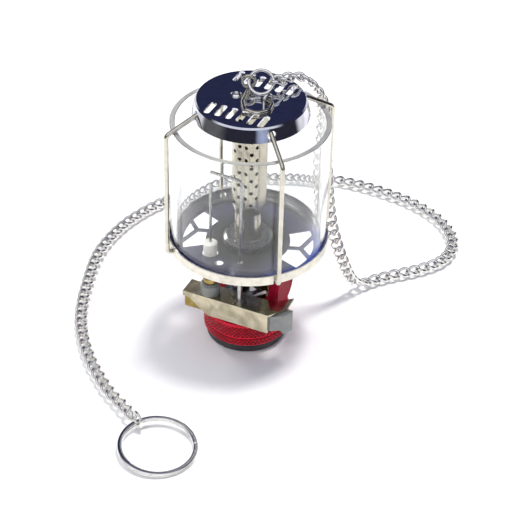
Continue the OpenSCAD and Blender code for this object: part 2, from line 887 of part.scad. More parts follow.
// Faces of the link whose points start at index base
function link_faces(base) =
    [for (k = [0 : link_rings - 1]) for (j = [0 : link_sides - 1])
        let (
            k2 = (k + 1) % link_rings,
            j2 = (j + 1) % link_sides,
            a = base + k * link_sides + j,
            b = base + k2 * link_sides + j,
            c = base + k2 * link_sides + j2,
            d = base + k * link_sides + j2
        )
        each [[a, b, c], [a, c, d]]];

// A stretch of the curb chain, from link first to link last
module links(first, last) {
    size = link_rings * link_sides;
    color("#c4c2bb")
        polyhedron(
            points = [for (i = [first : last]) each link_points(i)],
            faces = [for (i = [0 : last - first]) each link_faces(i * size)]);
}

hang_last = floor(link_n * hang_share);
rear_last = floor(link_n * rear_share);

module chain_hanging() {
    links(0, hang_last);
}

module chain_rear() {
    links(hang_last + 1, rear_last);
}

module chain_front() {
    links(rear_last + 1, link_n - 1);
}

// Small upright ring between the chain's last link and the key ring
module end_ring() {
    color("#b9bcc2")
        translate(end_mid)
            multmatrix(upright(side_flat))
                torus(end_r, end_wire);
}

// Flat split ring: two turns, seen as a groove round its middle
module key_ring() {
    h = key_w / 2;
    c = 0.3;
    g = 0.12;
    color("#cfcfd3")
        translate(key_hold)
            rotate(a = key_tilt, v = side_flat)
                translate(key_mid * pull_flat)
                    rotate_extrude()
                        polygon([[key_r - key_w, c - h], [key_r - key_w + c, -h], [key_r - c, -h],
                            [key_r, c - h], [key_r, -g], [key_r - 2 * c, 0], [key_r, g],
                            [key_r, h - c], [key_r - c, h], [key_r - key_w + c, h],
                            [key_r - key_w, h - c], [key_r - key_w, g],
                            [key_r - key_w + 2 * c, 0], [key_r - key_w, -g]]);
}

// Folded sheet bracket: a top plate with an ear, a front flap and a tab down to the valve
module igniter_bracket() {
    tab_y = bracket_back + bracket_t;
    ear_x = bracket_x1 + ear_w;
    flap_low = bracket_z - flap_h;
    color("#b4b0a6")
        difference() {
            union() {
                translate([0, 0, bracket_under])
                    linear_extrude(height = bracket_t)
                        polygon([[bracket_x0, bracket_y], [bracket_x1, bracket_y],
                            [ear_x, bracket_y + 1.4 * ear_w], [ear_x - 0.4, bracket_y + 2.8 * ear_w],
                            [bracket_x1 - 0.8, tab_y + 0.4], [bracket_x1 - 4, tab_y],
                            [-tab_w / 2, tab_y], [-tab_w / 2 - 2, bracket_back],
                            [bracket_x0, bracket_back]]);
                translate([-tab_w / 2, bracket_back, clamp_z])
                    cube([tab_w, bracket_t, bracket_z - clamp_z]);
                translate([-tab_w / 2, bracket_back, clamp_z])
                    cube([tab_w, -bracket_back, bracket_t]);
                translate([0, 0, clamp_z])
                    cylinder(h = bracket_t, r = column_r + 3);
                translate([0, bracket_y + bracket_t, 0])
                    rotate([90, 0, 0])
                        linear_extrude(height = bracket_t)
                            polygon([[bracket_x0, bracket_z], [bracket_x0, bracket_z - lip_h],
                                [bracket_x0 + 2.5, bracket_z - lip_h - 0.2],
                                [bracket_x0 + flap_slant, flap_low], [bracket_x1, flap_low],
                                [bracket_x1, bracket_z]]);
            }
            translate([0, 0, clamp_z - 1])
                cylinder(h = bracket_t + 2, r = column_r + fit_clear);
        }
}

// Brass case of the piezo element, under the bracket's top plate
module piezo_case() {
    color("#b08d45")
        translate([piezo_x0, piezo_y, bracket_under - piezo_h])
            cube([case_l, piezo_d, piezo_h]);
}

// Plastic guide for the button's stem
module piezo_guide() {
    hole = stem_w + 2 * move_clear;
    color("#26272a")
        difference() {
            translate([guide_x, piezo_y, bracket_under - piezo_h])
                cube([guide_end - guide_x, piezo_d, piezo_h]);
            translate([stem_end - press - 0.5, piezo_y + (piezo_d - hole) / 2,
                bracket_under - (piezo_h + hole) / 2])
                cube([guide_end - stem_end + press + 2, hole, hole]);
        }
}

// Igniter button: a slanted block with a low lip on a square stem
module igniter_button() {
    reach = bracket_x1 + button_reach;
    y1 = piezo_y + piezo_d + 0.8;
    color("#8b8f8d")
        union() {
            intersection() {
                translate([0, 0, button_bottom - lip_h - 1])
                    linear_extrude(height = piezo_h + lip_h + 1)
                        polygon([[button_x, piezo_y], [bracket_x1 + 1, piezo_y],
                            [reach - lip_h + 0.6, piezo_y + lip_h + 0.8], [reach, y1 - 0.6],
                            [reach, y1], [button_x, y1]]);
                translate([0, y1 + 1, 0])
                    rotate([90, 0, 0])
                        linear_extrude(height = y1 + 2 - piezo_y)
                            polygon([[button_x, button_bottom], [button_x, button_top],
                                [reach, button_top], [reach, button_bottom - lip_h],
                                [reach - lip_h + 0.6, button_bottom - lip_h],
                                [reach - lip_h - 0.8, button_bottom]]);
            }
            translate([stem_end, piezo_y + (piezo_d - stem_w) / 2,
                bracket_under - (piezo_h + stem_w) / 2])
                cube([button_x + 0.5 - stem_end, stem_w, stem_w]);
        }
}

// Grey boot that seals the electrode on the bracket
module electrode_boot() {
    color("#77797d")
        translate([spark_x, spark_y, bracket_z])
            rotate_extrude()
                polygon([[0, 0], [boot_r, 0], [boot_r, boot_h - 0.8], [boot_r - 0.8, boot_h],
                    [0, boot_h]]);
}

// Brass ferrule under the ceramic
module electrode_ferrule() {
    bulge = ceramic_r + 0.4;
    color("#a89a4e")
        translate([spark_x, spark_y, ferrule_z])
            rotate_extrude()
                polygon([[0, 0], [ceramic_r, 0], [bulge, 0.8], [bulge, ferrule_h - 0.8],
                    [ceramic_r, ferrule_h], [0, ferrule_h]]);
}

// White ceramic that carries the electrode
module electrode_ceramic() {
    color("#efeee6")
        translate([spark_x, spark_y, ceramic_z])
            rotate_extrude()
                polygon([[0, 0], [ceramic_r, 0], [ceramic_r, ceramic_h - 0.5],
                    [ceramic_r - 0.5, ceramic_h], [0, ceramic_h]]);
}

// Electrode rod on the ceramic
module electrode_rod() {
    color("#a4a29b")
        translate([spark_x, spark_y, rod_z])
            cylinder(h = rod_h, r = rod_r);
}

// Thick lower part of the ground wire, with its foot on the bracket
module ground_post() {
    color("#b9bcc2")
        translate([ground_x, ground_y, bracket_z])
            rotate_extrude()
                polygon([[0, 0], [ground_post_r + 0.7, 0], [ground_post_r + 0.7, post_foot_h],
                    [ground_post_r, post_foot_h], [ground_post_r, ground_z - bracket_z],
                    [0, ground_z - bracket_z]]);
}

// Ground wire, bent over above the electrode's tip
module ground_wire() {
    arm = [spark_x - ground_x, spark_y - ground_y];
    color("#8d8f93")
        translate([ground_x, ground_y, ground_z])
            rotate([90, 0, atan2(arm.y, arm.x)])
                bent_wire([[0, 0], [0, arm_z - ground_z], [norm(arm), arm_z - ground_z]], [1.5],
                    ground_r);
}

foot_ring();
collar();
seal_ring();
probe_pin();
valve_body();
bracket_nut();
gland_nut();
spindle();
control_knob();
knob_screw();
knob_cap();
jet();
mixer_tube();
base_pan();
base_ring();
burner_hub();
burner_tube();
burner_gauze();
burner_plug();
glass_globe();
hood();
hood_rivet();
hood_staple();
post_rear_right();
post_rear_left();
post_front_left();
post_front_right();
hanger_hook();
jump_ring();
chain_hanging();
chain_rear();
chain_front();
end_ring();
key_ring();
igniter_bracket();
piezo_case();
piezo_guide();
igniter_button();
electrode_boot();
electrode_ferrule();
electrode_ceramic();
electrode_rod();
ground_post();
ground_wire();
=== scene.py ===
import json
import math

import bpy
from mathutils import Matrix, Vector


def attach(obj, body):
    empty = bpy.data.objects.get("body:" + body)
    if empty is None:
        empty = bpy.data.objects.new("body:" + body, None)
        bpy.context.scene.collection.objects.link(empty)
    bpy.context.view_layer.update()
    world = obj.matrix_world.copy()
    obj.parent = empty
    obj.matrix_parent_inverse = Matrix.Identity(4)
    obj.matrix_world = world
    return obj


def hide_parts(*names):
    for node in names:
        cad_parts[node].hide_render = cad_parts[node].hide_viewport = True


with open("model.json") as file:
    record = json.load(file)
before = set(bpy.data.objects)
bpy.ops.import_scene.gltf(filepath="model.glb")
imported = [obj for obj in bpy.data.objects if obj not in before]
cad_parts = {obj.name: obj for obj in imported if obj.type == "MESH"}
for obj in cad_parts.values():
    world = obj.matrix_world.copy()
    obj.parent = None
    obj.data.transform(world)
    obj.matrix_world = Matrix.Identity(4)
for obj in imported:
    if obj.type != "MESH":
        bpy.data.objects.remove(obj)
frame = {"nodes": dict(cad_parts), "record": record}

MM = 0.001
FULL_TURN = 2 * math.pi
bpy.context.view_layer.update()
nodes = frame["nodes"]
scene = bpy.context.scene
scene.view_settings.view_transform = "Standard"


# Camera, at the photograph's angle

AZIMUTH = math.radians(24)
ELEVATION = math.radians(36.71)
ROLL = math.radians(1.51)
DISTANCE = 670.9 * MM
TARGET = Vector((0, 0, 35.87)) * MM
AIM_RIGHT = 3.28 * MM
LENS = 120.07
SENSOR = 36
NEAREST = 0.01
FARTHEST = 20


def make_camera():
    """A camera that looks at a point a little right of the target, rolled about its own axis."""
    right = Vector((math.cos(AZIMUTH), math.sin(AZIMUTH), 0))
    back = Vector((math.sin(AZIMUTH) * math.cos(ELEVATION), -math.cos(AZIMUTH) * math.cos(ELEVATION),
                   math.sin(ELEVATION)))
    eye = TARGET + DISTANCE * back
    look = (eye - (TARGET + AIM_RIGHT * right)).normalized()
    side = Vector((0, 0, 1)).cross(look).normalized()
    over = look.cross(side)
    tilted = math.cos(ROLL) * side + math.sin(ROLL) * over
    lifted = math.cos(ROLL) * over - math.sin(ROLL) * side
    data = bpy.data.cameras.new("camera")
    data.lens = LENS
    data.sensor_width = SENSOR
    data.clip_start = NEAREST
    data.clip_end = FARTHEST
    camera = bpy.data.objects.new("camera", data)
    scene.collection.objects.link(camera)
    turn = Matrix((tilted, lifted, look)).transposed().to_4x4()
    camera.matrix_world = Matrix.Translation(eye) @ turn
    return camera


scene.camera = make_camera()


# Mesh helpers

CORNER_SHARE = 0.49


def add_mesh(name, points, faces, smooth=True):
    """An object from points in metres."""
    mesh = bpy.data.meshes.new(name)
    mesh.from_pydata([tuple(p) for p in points], [], faces)
    mesh.update()
    if smooth:
        mesh.polygons.foreach_set("use_smooth", [True] * len(mesh.polygons))
    piece = bpy.data.objects.new(name, mesh)
    scene.collection.objects.link(piece)
    return piece


def closed_grid(rows, columns, base=0):
    """Faces over rows of points with as many columns each, closed both ways."""
    faces = []
    for s in range(rows):
        t = (s + 1) % rows
        for k in range(columns):
            j = (k + 1) % columns
            faces.append((base + s * columns + k, base + t * columns + k,
                          base + t * columns + j, base + s * columns + j))
    return faces


def lathe(name, profile, segments):
    """Turns a closed profile of (radius, height) points in mm about the axis."""
    points = []
    for s in range(segments):
        a = FULL_TURN * s / segments
        points += [Vector((r * math.cos(a), r * math.sin(a), z)) * MM for r, z in profile]
    return add_mesh(name, points, closed_grid(segments, len(profile)))


def rounded(profile, radii, steps):
    """A closed profile whose corners are rounded by the given radii in mm, as far as its sides allow."""
    out = []
    n = len(profile)
    for i, r in enumerate(radii):
        p = Vector(profile[i])
        if r <= 0:
            out.append(tuple(p))
            continue
        a = Vector(profile[i - 1]) - p
        b = Vector(profile[(i + 1) % n]) - p
        u = a.normalized()
        v = b.normalized()
        half = math.acos(max(-1, min(1, u.dot(v)))) / 2
        cut = min(r / math.tan(half), CORNER_SHARE * a.length, CORNER_SHARE * b.length)
        r = cut * math.tan(half)
        middle = p + (u + v).normalized() * (r / math.sin(half))
        start = p + u * cut - middle
        end = p + v * cut - middle
        for k in range(steps + 1):
            d = (start * (1 - k / steps) + end * (k / steps)).normalized() * r
            out.append(tuple(middle + d))
    return out


# Curb chain, along the same route as the solids: sizes in mm, the route's points in metres

ROUTE = [Vector(p) * MM for p in (
    (5.9, 9.73, 111.75), (8, 14.2, 111.4), (11.6, 18.4, 110.4), (15.4, 21.8, 106.6),
    (17.8, 25, 100.5), (18.8, 27.3, 92), (19.2, 27.9, 80), (20.9, 27.6, 60), (23.3, 28.8, 40),
    (27.2, 32.4, 22), (30, 37.5, 9), (32.4, 43.5, 3.4), (36.4, 49.7, 2.1), (42, 56, 2.1),
    (51, 65, 2.1), (57, 74, 2.1), (58.5, 83, 2.1), (56, 92, 2.1), (49.5, 100, 2.1),
    (40.5, 106, 2.1), (29.5, 110, 2.1), (17, 112, 2.1), (4, 112.5, 2.1), (-8, 111, 2.1),
    (-20, 107.5, 2.1), (-33, 102, 2.1), (-45, 95.5, 2.1), (-54, 88, 2.1), (-61, 77, 2.1),
    (-67, 65, 2.1), (-73, 51, 2.1), (-76.5, 35, 2.1), (-76, 15, 2.1), (-69.5, -7, 2.1),
    (-62.5, -24, 2.1), (-54, -37.5, 2.1), (-43.5, -49.5, 2.1), (-31, -60.2, 2.1),
    (-22.4, -65.6, 2.4), (-15.6, -69.85, 3))]
ROUTE_STEPS = 8
ROUTE_EASE = 1e-6
LINK_STEP = 4.6
LINK_WIRE = 0.65
LINK_HALF = 2.2
LINK_PLAY = 0.3
LINK_TWIST = math.radians(48)
LINK_LONG = (LINK_STEP + 2 * LINK_WIRE + LINK_PLAY) / 2
LINK_RINGS = 28
LINK_SIDES = 10
PROBE = 0.02
# Links that hang turn from facing the axis, at HANG_TOP, to HANG_FACE, over a drop of HANG_TURN
HANG_FACE = Vector((-0.41, 0.91, 0))
HANG_TOP = 92
HANG_TURN = 30
# Shifts that seat the first link in the jump ring and one link beside the glass's rim
SEATS = {0: Vector((0, 0, 0.3)), 6: Vector((0.08, 0.13, 0))}


def route_point(i, t):
    """The smooth curve through the route's points, a share t past point i."""
    n = len(ROUTE) - 1
    a, b, c, d = ROUTE[max(i - 1, 0)], ROUTE[i], ROUTE[i + 1], ROUTE[min(i + 2, n)]
    return 0.5 * (2 * b + (c - a) * t + (2 * a - 5 * b + 4 * c - d) * t * t
                  + (3 * b - a - 3 * c + d) * t * t * t)


line = [route_point(i, k / ROUTE_STEPS) for i in range(len(ROUTE) - 1) for k in range(ROUTE_STEPS)]
line.append(ROUTE[-1])
run = [0.0]
for p, q in zip(line, line[1:]):
    run.append(run[-1] + (q - p).length)
CHAIN_LENGTH = run[-1]
LINKS = round(CHAIN_LENGTH / (LINK_STEP * MM)) + 1


def along(s):
    """The point of the route at a length s from its start."""
    s = min(max(s, 0), CHAIN_LENGTH - ROUTE_EASE)
    k = max(i for i in range(len(run) - 1) if run[i] <= s)
    return line[k] + (line[k + 1] - line[k]) * ((s - run[k]) / (run[k + 1] - run[k]))


def link_line(u):
    """The middle of a link's wire: an oval that is twisted along its length."""
    w = LINK_TWIST * math.cos(u)
    return Vector((LINK_LONG * math.cos(u), LINK_HALF * math.sin(u) * math.cos(w),
                   LINK_HALF * math.sin(u) * math.sin(w)))


def link_shape():
    """Points of one link in mm, ring by ring along its wire."""
    shape = []
    for k in range(LINK_RINGS):
        u = FULL_TURN * k / LINK_RINGS
        p = link_line(u)
        ahead = (link_line(u + PROBE) - link_line(u - PROBE)).normalized()
        outward = (p - ahead * p.dot(ahead)).normalized()
        across = ahead.cross(outward)
        for j in range(LINK_SIDES):
            a = FULL_TURN * j / LINK_SIDES
            shape.append(p + (outward * math.cos(a) + across * math.sin(a)) * LINK_WIRE)
    return shape


def make_chain():
    """Sets a link at each step of the route."""
    shape = link_shape()
    gap = CHAIN_LENGTH / (LINKS - 1)
    points, faces = [], []
    for i in range(LINKS):
        c = along(i * gap)
        t = (along((i + 0.5) * gap) - along((i - 0.5) * gap)).normalized()
        share = max(0, min(1, (HANG_TOP - c.z / MM) / HANG_TURN))
        hang = Vector((c.x, c.y, 0)).normalized() * (1 - share) + HANG_FACE * share
        facing = Vector((0, 0, 1)) * (1 - abs(t.z)) + hang * abs(t.z)
        s = facing.cross(t).normalized()
        n = t.cross(s)
        seat = SEATS.get(i, Vector())
        faces += closed_grid(LINK_RINGS, LINK_SIDES, len(points))
        points += [c + (t * p.x + s * p.y + n * p.z + seat) * MM for p in shape]
    return add_mesh("curb_chain", points, faces)


chain = make_chain()
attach(chain, "lantern")
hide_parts("chain_hanging", "chain_rear", "chain_front")


# Split key ring: two turns of flattened wire, with a step where one turn crosses to the other, in mm

KEY_R = 15
KEY_W = 1.8
KEY_START = math.radians(65)
KEY_TURNS = 2
KEY_STEPS = 220
KEY_SIDES = 12
KEY_CROSSING = 0.06
KEY_CORNER = 0.6
KEY_EASE = 0.02
FLOOR_EASE = 0.05
HOLD_Z = 3.2
HOLD_REACH = 2.4


def make_key_ring():
    """Leans from the chain's end ring, where it is held, down to the floor."""
    pull = ROUTE[-1] - ROUTE[-2]
    pull = Vector((pull.x, pull.y, 0)).normalized()
    chain_end = ROUTE[-1] + pull * LINK_LONG * MM
    hold = Vector((chain_end.x, chain_end.y, HOLD_Z * MM)) + pull * HOLD_REACH * MM
    radius = KEY_R - KEY_W / 2
    tilt = math.asin((HOLD_Z - KEY_W / 2 - FLOOR_EASE) / (2 * radius))
    hinge = Vector((-pull.y, pull.x, 0))
    lean = Matrix.Rotation(tilt, 3, hinge)
    middle = hold + lean @ (pull * radius * MM)
    ahead = lean @ pull
    across = lean @ hinge
    up = ahead.cross(across).normalized()
    half = KEY_W / 4
    points, faces = [], []
    for i in range(KEY_STEPS + 1):
        share = i / KEY_STEPS
        a = KEY_START + FULL_TURN * KEY_TURNS * i / KEY_STEPS
        level = half * max(-1, min(1, (share - 0.5) / KEY_CROSSING))
        d = ahead * math.cos(a) + across * math.sin(a)
        c = middle + d * radius * MM + up * level * MM
        base = len(points)
        for j in range(KEY_SIDES):
            t = FULL_TURN * j / KEY_SIDES
            x, y = math.cos(t), math.sin(t)
            x = math.copysign(abs(x) ** KEY_CORNER, x) * (KEY_W / 2 - KEY_EASE)
            y = math.copysign(abs(y) ** KEY_CORNER, y) * (half - KEY_EASE)
            points.append(c + (d * x + up * y) * MM)
        if i:
            for j in range(KEY_SIDES):
                k = (j + 1) % KEY_SIDES
                faces.append((base - KEY_SIDES + j, base - KEY_SIDES + k, base + k, base + j))
    faces.append(tuple(range(KEY_SIDES)))
    faces.append(tuple(reversed(range(len(points) - KEY_SIDES, len(points)))))
    return add_mesh("split_ring", points, faces)


split_ring = make_key_ring()
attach(split_ring, "key_ring_body")
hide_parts("key_ring")


# Shader helpers: each adds nodes to a tree and gives back a socket

BLACK = (0, 0, 0)
WHITE = (1, 1, 1)
# Directions as the photograph's camera sees them
TO_RIGHT = (0.9135, 0.4067, 0)
TO_FRONT = (0.4067, -0.9135, 0)
TO_BACK = (-0.4067, 0.9135, 0)


def noise(tree, scale, detail=4, stretch=(1, 1, 1), distortion=0.0):
    """Noise over the object's own metres: scale is in features per metre."""
    place = tree.nodes.new("ShaderNodeTexCoord")
    fit = tree.nodes.new("ShaderNodeMapping")
    fit.inputs["Scale"].default_value = stretch
    grain = tree.nodes.new("ShaderNodeTexNoise")
    grain.inputs["Scale"].default_value = scale
    grain.inputs["Detail"].default_value = detail
    grain.inputs["Distortion"].default_value = distortion
    tree.links.new(place.outputs["Object"], fit.inputs["Vector"])
    tree.links.new(fit.outputs["Vector"], grain.inputs["Vector"])
    return grain.outputs["Fac"]


def spread(tree, value, low, high, a=0.3, b=0.7):
    """Maps a value between a and b onto low to high."""
    span = tree.nodes.new("ShaderNodeMapRange")
    span.inputs["From Min"].default_value = a
    span.inputs["From Max"].default_value = b
    span.inputs["To Min"].default_value = low
    span.inputs["To Max"].default_value = high
    tree.links.new(value, span.inputs["Value"])
    return span.outputs["Result"]


def ramp(tree, value, stops):
    """Colours along a value, from stops of (position, colour)."""
    node = tree.nodes.new("ShaderNodeValToRGB")
    elements = node.color_ramp.elements
    for k, (at, colour) in enumerate((stops[0], stops[-1])):
        elements[k].position = at
        elements[k].color = (*colour, 1)
    for at, colour in stops[1:-1]:
        elements.new(at).color = (*colour, 1)
    tree.links.new(value, node.inputs["Fac"])
    return node.outputs["Color"]


def clouds(tree, value, dark, light):
    """Two colours, blended where the noise lies in the middle."""
    return ramp(tree, value, ((0.35, dark), (0.65, light)))


def colours(tree, value, dark, light, a, b):
    """Two colours, blended where a value lies between a and b."""
    return ramp(tree, spread(tree, value, 0, 1, a, b), ((0, dark), (1, light)))


def blend(tree, fac, a, b):
    """Mixes two colours: each is a socket or a plain colour."""
    mix = tree.nodes.new("ShaderNodeMix")
    mix.data_type = "RGBA"
    tree.links.new(fac, mix.inputs["Factor"])
    for side, colour in (("A", a), ("B", b)):
        if isinstance(colour, tuple):
            mix.inputs[side].default_value = (*colour, 1)
        else:
            tree.links.new(colour, mix.inputs[side])
    return mix.outputs["Result"]


def reckon(tree, operation, value, other):
    """Works out an operation on a socket and another socket or a plain number."""
    node = tree.nodes.new("ShaderNodeMath")
    node.operation = operation
    tree.links.new(value, node.inputs[0])
    if isinstance(other, (int, float)):
        node.inputs[1].default_value = other
    else:
        tree.links.new(other, node.inputs[1])
    return node.outputs[0]


def reach(tree, vector, direction):
    """How far a vector reaches along a direction."""
    node = tree.nodes.new("ShaderNodeVectorMath")
    node.operation = "DOT_PRODUCT"
    node.inputs[1].default_value = direction
    tree.links.new(vector, node.inputs[0])
    return node.outputs["Value"]


def measure_along(tree, direction):
    """The object's own coordinate along a direction, in metres."""
    place = tree.nodes.new("ShaderNodeTexCoord")
    return reach(tree, place.outputs["Object"], direction)


def measure_radius(tree):
    """The distance from the object's upright axis, in metres."""
    place = tree.nodes.new("ShaderNodeTexCoord")
    flat = tree.nodes.new("ShaderNodeVectorMath")
    flat.operation = "MULTIPLY"
    flat.inputs[1].default_value = (1, 1, 0)
    size = tree.nodes.new("ShaderNodeVectorMath")
    size.operation = "LENGTH"
    tree.links.new(place.outputs["Object"], flat.inputs[0])
    tree.links.new(flat.outputs["Vector"], size.inputs[0])
    return size.outputs["Value"]


def shader(name):
    """A material with one surface shader, which is given back beside its tree."""
    material = bpy.data.materials.new(name)
    material.use_nodes = True
    tree = material.node_tree
    tree.nodes.clear()
    out = tree.nodes.new("ShaderNodeOutputMaterial")
    surface = tree.nodes.new("ShaderNodeBsdfPrincipled")
    tree.links.new(surface.outputs["BSDF"], out.inputs["Surface"])
    return material, tree, surface


def relief(tree, value, surface, strength, depth):
    """Bumps the surface by a value, with a depth in mm."""
    bump = tree.nodes.new("ShaderNodeBump")
    bump.inputs["Strength"].default_value = strength
    bump.inputs["Distance"].default_value = depth * MM
    tree.links.new(value, bump.inputs["Height"])
    tree.links.new(bump.outputs["Normal"], surface.inputs["Normal"])


def metal_parts(name, dark, light, rough, stretch=(1, 1, 1), scale=350, fine=2600, strength=0.08,
                metallic=1.0):
    """Metal with cloudy tarnish, fine drawn scratches and a roughness that follows them."""
    material, tree, surface = shader(name)
    surface.inputs["Metallic"].default_value = metallic
    film = clouds(tree, noise(tree, scale, 5, distortion=0.4), dark, light)
    lines = noise(tree, fine, 3, stretch)
    tree.links.new(film, surface.inputs["Base Color"])
    tree.links.new(spread(tree, lines, *rough), surface.inputs["Roughness"])
    relief(tree, lines, surface, strength, 0.04)
    return material, tree, surface


def metal(name, *looks, **more):
    """The material alone, for a metal that needs nothing more."""
    return metal_parts(name, *looks, **more)[0]


def plastic(name, dark, light, rough, scale=1800, strength=0.15, coat=0.0):
    """Moulded plastic or rubber with a fine grain."""
    material, tree, surface = shader(name)
    grain = noise(tree, scale, 3)
    tree.links.new(clouds(tree, noise(tree, 220, 4), dark, light), surface.inputs["Base Color"])
    tree.links.new(spread(tree, grain, *rough), surface.inputs["Roughness"])
    relief(tree, grain, surface, strength, 0.06)
    surface.inputs["Coat Weight"].default_value = coat
    surface.inputs["Coat Roughness"].default_value = 0.25
    return material


# Materials

hood_chrome = metal("hood_chrome", (0.6, 0.61, 0.68), (0.7, 0.71, 0.77), (0.02, 0.07),
                    (1, 0.15, 1), strength=0.015)
satin_steel = metal("satin_steel", (0.56, 0.53, 0.45), (0.68, 0.65, 0.56), (0.12, 0.24),
                    (1, 1, 0.06), strength=0.05)
steel = metal("steel", (0.34, 0.34, 0.34), (0.48, 0.47, 0.45), (0.18, 0.32), (1, 1, 0.08))
burner_steel = metal("burner_steel", (0.5, 0.47, 0.38), (0.6, 0.57, 0.47), (0.2, 0.27),
                     (1, 1, 0.2), scale=90, strength=0.008)
# The gauze is a real part; its near-black colour is painted shade inside the burner tube, seen through
# its holes
dark_gauze = metal("dark_gauze", (0.03, 0.028, 0.026), (0.07, 0.065, 0.06), (0.5, 0.7),
                   scale=900, fine=3000, strength=0.3)
nickel = metal("nickel", (0.34, 0.34, 0.35), (0.46, 0.46, 0.47), (0.16, 0.3))
hub_steel = metal("hub_steel", (0.165, 0.168, 0.155), (0.225, 0.23, 0.212), (0.2, 0.32))
brass = metal("brass", (0.31, 0.22, 0.065), (0.42, 0.31, 0.115), (0.22, 0.42))
chain_chrome = metal("chain_chrome", (0.8, 0.79, 0.75), (0.92, 0.91, 0.88), (0.1, 0.22), scale=500)
bracket_chrome = metal("bracket_chrome", (0.39, 0.35, 0.24), (0.62, 0.56, 0.41), (0.06, 0.26),
                       scale=200, fine=420, strength=0.05)
red_anodised = metal("red_anodised", (0.78, 0.009, 0.034), (0.93, 0.015, 0.056), (0.2, 0.34),
                     metallic=0.55, strength=0.03)
# Dark red for the knurl's valleys: painted shade in the recesses
red_groove_shade = metal("red_groove_shade", (0.2, 0.002, 0.007), (0.28, 0.003, 0.012), (0.3, 0.45),
                   metallic=0.55, strength=0.03)
black_plastic = plastic("black_plastic", (0.012, 0.012, 0.014), (0.03, 0.03, 0.034), (0.34, 0.52))
grey_plastic = plastic("grey_plastic", (0.27, 0.28, 0.26), (0.35, 0.36, 0.335), (0.42, 0.56))
grey_rubber = plastic("grey_rubber", (0.215, 0.225, 0.2), (0.32, 0.33, 0.295), (0.4, 0.6))
black_rubber = plastic("black_rubber", (0.015, 0.015, 0.015), (0.035, 0.035, 0.035), (0.5, 0.7))
white_ceramic = plastic("white_ceramic", (0.72, 0.7, 0.62), (0.85, 0.84, 0.79), (0.25, 0.4),
                        scale=900, strength=0.08, coat=0.4)


def make_red_knob():
    """Lacquer that hardly shines."""
    material, _, surface = metal_parts(
        "red_knob", (0.27, 0.003, 0.018), (0.34, 0.006, 0.028), (0.4, 0.52), metallic=0.2, strength=0.03)
    surface.inputs["Specular IOR Level"].default_value = 0.05
    return material


def painted_blue_reflection(tree, dark, light):
    """Painted reflection on the floor's edge: navy to royal blue at the front, plain metal at the back.
    """
    blue = colours(tree, measure_along(tree, TO_RIGHT), (0.028, 0.032, 0.12), (0.085, 0.15, 0.56),
                   -12 * MM, 27 * MM)
    plain = colours(tree, noise(tree, 120, 3), dark, light, 0.35, 0.65)
    away = colours(tree, measure_along(tree, TO_BACK), BLACK, WHITE, -4 * MM, 12 * MM)
    return blend(tree, away, blue, plain)


def make_pan_chrome():
    """Polished pan with a cloudy film, a painted dark reflection of the burner in the middle and a
    painted blue reflection towards its edge.
    """
    material, tree, surface = metal_parts(
        "pan_chrome", (0.13, 0.132, 0.18), (0.19, 0.192, 0.26), (0.12, 0.2), (0.2, 1, 1),
        scale=60, strength=0.02, metallic=0.8)
    # Darker, warmer middle: painted reflection of the dark burner and hub above it
    painted_dark_middle = colours(tree, noise(tree, 90, 3, distortion=0.6), (0.072, 0.074, 0.06), (0.12, 0.122, 0.1),
                    0.35, 0.65)
    middle = colours(tree, measure_radius(tree), BLACK, WHITE, 12 * MM, 21 * MM)
    film = blend(tree, middle, painted_dark_middle, surface.inputs["Base Color"].links[0].from_socket)
    # Painted blue reflection towards the pan's edge
    edge = painted_blue_reflection(tree, (0.15, 0.15, 0.17), (0.24, 0.24, 0.25))
    near = colours(tree, measure_radius(tree), BLACK, WHITE, 22.6 * MM, 26.2 * MM)
    tree.links.new(blend(tree, near, film, edge), surface.inputs["Base Color"])
    return material


def make_ring_steel():
    """Satin on the ring's outer wall, polished inside the glass with a painted blue reflection."""
    material, tree, outer = metal_parts(
        "ring_steel", (0.64, 0.61, 0.53), (0.75, 0.72, 0.63), (0.2, 0.34), (0.05, 0.05, 1), strength=0.04)
    end = outer.outputs["BSDF"].links[0].to_socket
    inner = tree.nodes.new("ShaderNodeBsdfPrincipled")
    inner.inputs["Metallic"].default_value = 0.85
    # Painted blue reflection on the polished inside of the ring
    tree.links.new(painted_blue_reflection(tree, (0.3, 0.3, 0.3), (0.42, 0.42, 0.4)), inner.inputs["Base Color"])
    tree.links.new(spread(tree, noise(tree, 900, 2), 0.14, 0.24), inner.inputs["Roughness"])
    mix = tree.nodes.new("ShaderNodeMixShader")
    wall = spread(tree, measure_radius(tree), 0, 1, 30.52 * MM, 30.58 * MM)
    tree.links.new(wall, mix.inputs["Fac"])
    tree.links.new(inner.outputs["BSDF"], mix.inputs[1])
    tree.links.new(outer.outputs["BSDF"], mix.inputs[2])
    tree.links.new(mix.outputs[0], end)
    return material


def make_glass():
    """Clear glass with a faint tint."""
    material, tree, surface = shader("clear_glass")
    surface.inputs["Transmission Weight"].default_value = 1.0
    surface.inputs["IOR"].default_value = 1.47
    clear = clouds(tree, noise(tree, 30, 2), (0.955, 0.975, 0.97), (0.985, 0.995, 0.99))
    tree.links.new(clear, surface.inputs["Base Color"])
    tree.links.new(spread(tree, noise(tree, 120, 3), 0.0, 0.02), surface.inputs["Roughness"])
    return material


